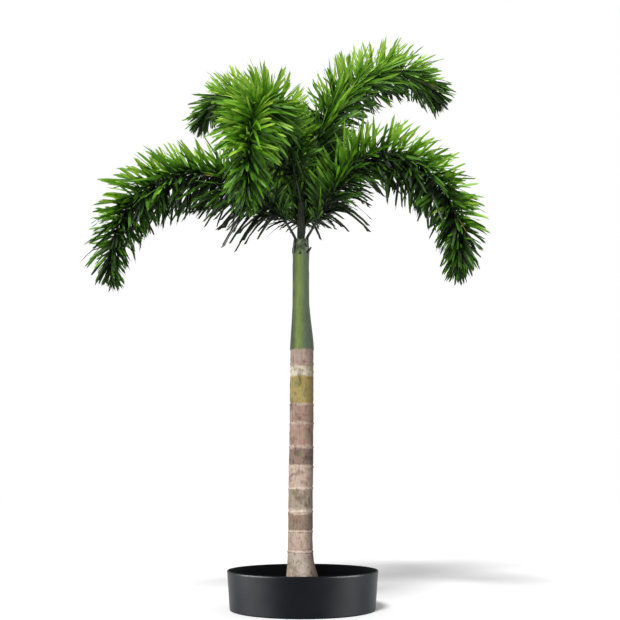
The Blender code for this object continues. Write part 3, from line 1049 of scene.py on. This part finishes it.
# The last number of each frond is its painted lightness: painted light on the front frond, painted shade on
# the upper right one
FRONDS = (
    Frond("left", 190.0, 0.0, False, (63, 29, -14, -65, -105), 1.52, 0.182, 0.18, 0.03),
    Frond("right", 350.0, 0.0, False, (58, 62, -27, -69, -105), 1.53, 0.182, 0.27, 0.03),
    Frond("upper_right", 32.0, 0.0, True, (81, 70, 49, 20, -39), 1.57, 0.188, 0.52, -0.05),
    Frond("upper_left", 134.0, 0.0, True, (82, 56, 53, 23, -46), 1.41, 0.166, 0.46, 0.02),
    Frond("front", 253.0, 9.0, True, (54, 27, -20, -68, -94), 1.50, 0.185, 0.20, 0.17),
    Frond("rear_left", 103.0, 0.0, False, (79, 64, 34, -2, -38), 1.36, 0.175, 0.35, 0.0),
    Frond("rear_right", 68.0, 0.0, False, (77, 66, 44, 14, -22), 1.30, 0.175, 0.35, 0.0),
)


@dataclass
class Plume:
    """A frond's stalk, midrib and leaflets, which stand all round the midrib like the hairs of a brush."""

    frond: Frond
    seed: int
    steps: int = 240
    plume_start: float = 0.062
    plume_full: float = 0.17
    plume_shrink: float = 0.66
    first_reach: float = 0.42
    leaflets: int = 980
    half_width: float = 0.0074
    fold: float = 0.30
    shoulder_seat: float = 0.0325
    heart_seat: float = 0.0115
    upright: float = 0.010
    stalk_share: float = 0.075
    overhang: float = 0.080
    # Added length of hanging leaflets, also by the stalk, their added droop there, and of rising leaflets
    hang: float = 0.42
    base_hang: float = 0.80
    base_droop: float = 0.42
    lift: float = 0.17
    # Degrees between leaflet and midrib, the change at the tip, and their spread
    lean: float = 64.0
    tip_lean: float = -34.0
    lean_spread: float = 14.0
    lean_limits: tuple[float, float] = (18.0, 84.0)
    turn_spread: float = 0.30
    blade_shares: tuple[float, ...] = (0.0, 0.10, 0.32, 0.58, 0.82, 1.0)
    blade_widths: tuple[float, ...] = (0.30, 0.74, 1.0, 1.0, 0.84, 0.46)
    # Tints darker by this many from the midrib outwards, where the plume shades itself
    shade_steps: tuple[int, ...] = (3, 2, 1, 0, 0)
    full_length: float = 0.16
    twist: float = 0.8
    blade_twist: float = 0.5
    stalk_radii: tuple[float, float] = (0.0082, 0.0070)
    midrib_radii: tuple[float, float] = (0.0062, 0.0016)
    spray: int = 5
    spray_spread: float = 0.085
    dry_share: float = 0.003

    def __post_init__(self) -> None:
        """Work out the midrib's points and directions."""
        frond = self.frond
        self.shares = np.linspace(0.0, 1.0, self.steps + 1)
        marks = np.linspace(0.0, 1.0, len(frond.elevations))
        rise = np.radians(np.interp(self.shares, marks, frond.elevations))
        turn = np.radians(frond.azimuth + frond.sweep * self.shares)
        level = np.cos(rise)
        self.forward = np.stack((level * np.cos(turn), level * np.sin(turn), np.sin(rise)), 1)
        self.side = np.stack((np.sin(turn), -np.cos(turn), turn * 0), 1)
        self.upper = np.cross(self.side, self.forward)
        reach = self.heart_seat if frond.on_heart else self.shoulder_seat
        height = HEART_TOP if frond.on_heart else SHAFT_TOP
        azimuth = math.radians(frond.azimuth)
        self.seat = np.array((AXIS_TOP_OFFSET + reach * math.cos(azimuth), reach * math.sin(azimuth),
                              height + GAP))
        middle = (self.forward[1:] + self.forward[:-1]) / 2 * frond.length / self.steps
        start = self.seat + (0.0, 0.0, self.upright)
        self.points = start + np.concatenate((np.zeros((1, 3)), np.cumsum(middle, axis=0)))

    def at(self, table: np.ndarray, shares: np.ndarray) -> np.ndarray:
        """Read a table of the midrib at given shares of its length."""
        return np.stack([np.interp(shares, self.shares, table[:, axis]) for axis in range(3)], -1)

    def reach(self, shares: np.ndarray) -> np.ndarray:
        """Work out the plume's reach at given shares of the midrib.

        Args:
            shares: Shares of the midrib's length.

        Returns:
            The reach in metres.
        """
        growing = smoothstep((shares - self.plume_start) / (self.plume_full - self.plume_start))
        grown = self.first_reach + (1 - self.first_reach) * growing
        closing = np.clip((shares - self.plume_shrink) / (1 - self.plume_shrink), 0, 1) ** 1.5
        return self.frond.plume_radius * grown * (1 + (self.frond.tip_share - 1) * closing)

    def stalk(self, material: bpy.types.Material) -> bpy.types.Object:
        """Build the bare stalk from its seat to the first leaflets.

        Args:
            material: The stalk's material.

        Returns:
            The stalk.
        """
        kept = self.shares <= self.stalk_share
        points = np.concatenate((self.seat[None, :], self.points[kept]))
        side = np.concatenate((self.side[:1], self.side[kept]))
        upper = np.concatenate((np.cross(self.side[:1], (0.0, 0.0, 1.0)), self.upper[kept]))
        radii = np.linspace(*self.stalk_radii, len(points))
        vertices, faces = tube(points, side, upper, radii, radii * 0.9, 20)
        piece = mesh_piece(f"stalk_{self.frond.name}", vertices, faces, [material])
        return settle(piece, Slot.LEAF_STALK, f"petiole_{self.frond.name}")

    def midrib(self, material: bpy.types.Material) -> bpy.types.Object:
        """Build the tapering midrib that carries the leaflets.

        Args:
            material: The midrib's material.

        Returns:
            The midrib.
        """
        kept = self.shares >= self.stalk_share - 0.004
        share = self.shares[kept]
        thick, thin = self.midrib_radii
        wide = thick + (thin - thick) * share
        vertices, faces = tube(self.points[kept], self.side[kept], self.upper[kept], wide, wide * 0.8, 12)
        piece = mesh_piece(f"midrib_{self.frond.name}", vertices, faces, [material])
        return settle(piece, Slot.LEAF_STALK)

    def tints(self, shares: np.ndarray, outward: np.ndarray, rng: np.random.Generator,
              count: int) -> np.ndarray:
        """Deal out the tints by spray and by place: painted light above and outside, painted shade below and
        inside.

        Args:
            shares: The leaflets' shares of the midrib.
            outward: The leaflets' directions.
            rng: The source of each spray's difference.
            count: The number of tints, with the dry one last.

        Returns:
            One tint number for each leaflet.
        """
        sprays = rng.normal(0.0, self.spray_spread, self.leaflets // self.spray + 1)
        spray = sprays[np.arange(self.leaflets) // self.spray]
        # Painted light on upward leaflets, painted shade on downward ones, plus the frond's painted
        # lightness
        level = 0.53 + 0.36 * outward[:, 2] + spray + self.frond.painted_lightness
        level += rng.normal(0.0, self.spray_spread, len(shares))
        # Painted shade on leaflets near the stalk, inside the crown, and painted light further out along the
        # midrib
        level += 0.15 * smoothstep((shares - 0.25) / 0.5) - 0.30 * (1 - smoothstep((shares - 0.08) / 0.25))
        tint = np.clip(np.floor(level * (count - 1)), 0, count - 2).astype(int)
        dry = rng.uniform(size=len(shares)) < self.dry_share
        return np.where(dry, count - 1, tint)

    def foliage(self, materials: list[bpy.types.Material]) -> bpy.types.Object:
        """Grow the leaflets by the seeded rule and join them into one piece.

        Args:
            materials: The tints, darkest first and the dry one last.

        Returns:
            The leaflets.
        """
        rng = np.random.default_rng(self.seed)
        count = self.leaflets
        order = (np.arange(count) + rng.uniform(-0.4, 0.4, count)) / count
        shares = np.clip(self.plume_start + (1 - self.plume_start) * order, 0, 1)
        golden_turn = math.pi * (3 - math.sqrt(5))
        clumps = 0.22 * np.sin(np.arange(count) * 0.9)
        turn = np.arange(count) * golden_turn + clumps + rng.normal(0, self.turn_spread, count)
        forward, side = self.at(self.forward, shares), self.at(self.side, shares)
        upper = self.at(self.upper, shares)
        radial = side * np.cos(turn)[:, None] + upper * np.sin(turn)[:, None]
        tipward = smoothstep((shares - 0.72) / 0.28)
        lean = self.lean + self.tip_lean * tipward + rng.normal(0, self.lean_spread, count)
        lean = np.radians(np.clip(lean, *self.lean_limits))
        outward = radial * np.sin(lean)[:, None] + forward * np.cos(lean)[:, None]
        outward /= np.linalg.norm(outward, axis=1)[:, None]
        hanging = np.clip(-outward[:, 2], 0, 1) * (1 - smoothstep((shares - 0.45) / 0.35))
        length = self.reach(shares) / np.sin(np.clip(lean, 0.62, 1.4)) * rng.uniform(0.80, 1.08, count)
        length *= 1 + self.lift * np.clip(outward[:, 2], 0, 1) * (1 - tipward)
        length *= 1 + (self.hang + self.base_hang * (1 - smoothstep((shares - 0.12) / 0.22))) * hanging
        room = (1 - shares) * self.frond.length + self.overhang
        length = np.minimum(length, room / np.cos(lean))
        stations, widths = np.array(self.blade_shares), np.array(self.blade_widths)
        droop = rng.uniform(0.04, 0.16, count) * (1 - 0.4 * np.abs(outward[:, 2]))
        near_base = 1 - smoothstep((shares - 0.14) / 0.22)
        droop += self.base_droop * near_base * np.sqrt(np.clip(hanging, 0, 1))
        line = self.at(self.points, shares)[:, None, :] + outward[:, None, :] * (
            stations[None, :] * length[:, None])[..., None]
        line[..., 2] -= (droop * length)[:, None] * stations[None, :] ** 2
        across = np.cross(outward, np.cross(outward, forward))
        across /= np.linalg.norm(across, axis=1)[:, None]
        normal = np.cross(outward, across)
        twist = rng.normal(0, self.twist, count)[:, None]
        twist = twist + rng.normal(0, self.blade_twist, count)[:, None] * stations[None, :]
        blade = (across[:, None, :] * np.cos(twist)[..., None]
                 + normal[:, None, :] * np.sin(twist)[..., None])
        face = np.cross(np.broadcast_to(outward[:, None, :], blade.shape), blade)
        half = self.half_width * rng.uniform(0.8, 1.15, count)[:, None] * widths[None, :]
        half *= np.clip(length[:, None] / self.full_length, 0.45, 1.0)
        left = line + blade * half[..., None] - face * (self.fold * half)[..., None]
        right = line - blade * half[..., None] - face * (self.fold * half)[..., None]
        jag = (outward * (length * rng.uniform(0.03, 0.10, count))[:, None])
        left[:, -1] -= jag
        line[:, -1] -= 1.3 * jag
        grid = np.stack((left, line, right), 2)
        rows = len(stations)
        row, column = np.meshgrid(np.arange(rows - 1), np.arange(2), indexing="ij")
        quad = np.stack((row * 3 + column, row * 3 + column + 1, (row + 1) * 3 + column + 1,
                         (row + 1) * 3 + column), -1).reshape(-1, 4)
        faces = (quad[None, :, :] + (np.arange(count) * rows * 3)[:, None, None]).reshape(-1, 4)
        tints = self.tints(shares, outward, rng, len(materials))[:, None]
        green = tints < len(materials) - 1
        deep = np.repeat(self.shade_steps, 2)[None, :]
        tints = np.where(green, np.maximum(tints - deep, 0), tints).ravel()
        name = self.frond.name
        piece = mesh_piece(f"leaflets_{name}", grid.reshape(-1, 3), [faces], materials, tints)
        return settle(piece, Slot.LEAFLETS, f"frond_{name}_inner", f"frond_{name}_outer")


@dataclass
class Studio:
    """The pale floor, the soft lights and the camera at the photograph's viewing angle."""

    camera_place: tuple[float, float, float] = (0.0364, -4.488, 0.563)
    camera_pitch: float = 12.0
    lens: float = 50.0
    sensor: float = 36.0
    floor_radius: float = 40.0
    floor_corners: int = 96
    paper: str = "#f4f4f4"
    paper_roughness: float = 0.9
    surround_light: float = 0.55
    surround_seen: float = 1.0
    key_energy: float = 3.0
    key_angle: float = 14.0
    key_tilt: tuple[float, float] = (38.0, -16.0)
    box_lift: float = 0.004
    box_distance: float = 1.3
    box_height: float = 0.16
    # Name, azimuth from the front in degrees, width in metres and power in watts
    soft_boxes: tuple[tuple[str, float, float, float], ...] = (
        ("box_left", -66.0, 1.1, 56.0), ("box_right", 62.0, 0.9, 44.0))

    def camera(self) -> None:
        """Place the camera."""
        data = bpy.data.cameras.new("camera")
        data.lens, data.sensor_width = self.lens, self.sensor
        camera = bpy.data.objects.new("camera", data)
        camera.location = self.camera_place
        camera.rotation_euler = (math.radians(90 + self.camera_pitch), 0.0, 0.0)
        bpy.context.scene.collection.objects.link(camera)
        bpy.context.scene.camera = camera

    def floor(self) -> None:
        """Lay the plain pale floor."""
        turns = np.arange(self.floor_corners) * 2 * math.pi / self.floor_corners
        ring = self.floor_radius * np.stack((np.cos(turns), np.sin(turns), turns * 0), 1)
        material, _, shader = new_material("matt_white_paper")
        shader.inputs["Base Color"].default_value = linear(self.paper)
        shader.inputs["Roughness"].default_value = self.paper_roughness
        floor = mesh_piece("studio_floor", ring, [np.arange(self.floor_corners)[None, :]], [material])

    def world(self) -> None:
        """Set a white surround that lights a little less than it shows."""
        world = bpy.data.worlds.new("studio")
        world.use_nodes = True
        tree = world.node_tree
        rays = add_node(tree, "ShaderNodeLightPath")
        strength = add_node(tree, "ShaderNodeMapRange",
                            inputs={"Value": rays.outputs["Is Camera Ray"], "To Min": self.surround_light,
                                    "To Max": self.surround_seen})
        background = tree.nodes["Background"]
        background.inputs["Color"].default_value = (1.0, 1.0, 1.0, 1.0)
        tree.links.new(strength.outputs["Result"], background.inputs["Strength"])
        bpy.context.scene.world = world

    def key(self) -> None:
        """Hang one broad sun-like key high in front on the left."""
        sun = bpy.data.lights.new("key", "SUN")
        sun.energy, sun.angle = self.key_energy, math.radians(self.key_angle)
        key = bpy.data.objects.new("key", sun)
        key.rotation_euler = (*(math.radians(tilt) for tilt in self.key_tilt), 0.0)
        bpy.context.scene.collection.objects.link(key)

    def boxes(self, planter: bpy.types.Object) -> None:
        """Stand low soft boxes round the planter that light it alone.

        Args:
            planter: The planter, whose satin wall shows the boxes as soft bands.
        """
        lit = bpy.data.collections.new("lit_by_soft_boxes")
        lit.objects.link(planter)
        for name, turn, width, power in self.soft_boxes:
            area = bpy.data.lights.new(name, "AREA")
            area.shape, area.energy = "RECTANGLE", power
            area.size, area.size_y = width, self.box_height
            box = bpy.data.objects.new(name, area)
            away = math.radians(turn)
            box.location = (self.box_distance * math.sin(away), -self.box_distance * math.cos(away),
                            self.box_height / 2 + self.box_lift)
            box.visible_camera = False
            box.rotation_euler = (math.radians(90), 0.0, away)
            box.light_linking.receiver_collection = lit
            bpy.context.scene.collection.objects.link(box)

    def build(self) -> None:
        """Set the whole studio up."""
        self.camera()
        self.floor()
        self.world()
        self.key()
        bpy.context.scene.view_settings.view_transform = "Standard"


def main() -> None:
    """Build every sub-assembly in order."""
    logging.basicConfig(level=logging.INFO, format="%(name)s %(message)s")
    studio = Studio()
    studio.build()
    planter = Planter()
    studio.boxes(planter.wall_piece(MouldedPolypropylene().make()))
    planter.soil_piece(PottingMix().make())
    Trunk().build(RingedBark().make())
    shaft = Crownshaft()
    shaft.build(WaxySheath().make())
    shaft.heart(StalkSkin("young_stalk_skin", "#1e2217", "#3c4230").make())
    dry_skin = StalkSkin("dry_sheath_skin", "#15140f", "#332e22", 0.8).make()
    shaft.stub(dry_skin)
    shaft.margins(dry_skin)
    stalk_skin = StalkSkin("leaf_stalk_skin", "#141a10", "#2a3520").make()
    midrib_skin = StalkSkin("midrib_skin", "#1f2c10", "#3c5219").make()
    tints = LeafletSkin().make()
    for number, frond in enumerate(FRONDS):
        plume = Plume(frond, SEED + 100 + number)
        plume.stalk(stalk_skin)
        plume.midrib(midrib_skin)
        plume.foliage(tints)


if __name__ == "__main__":
    main()
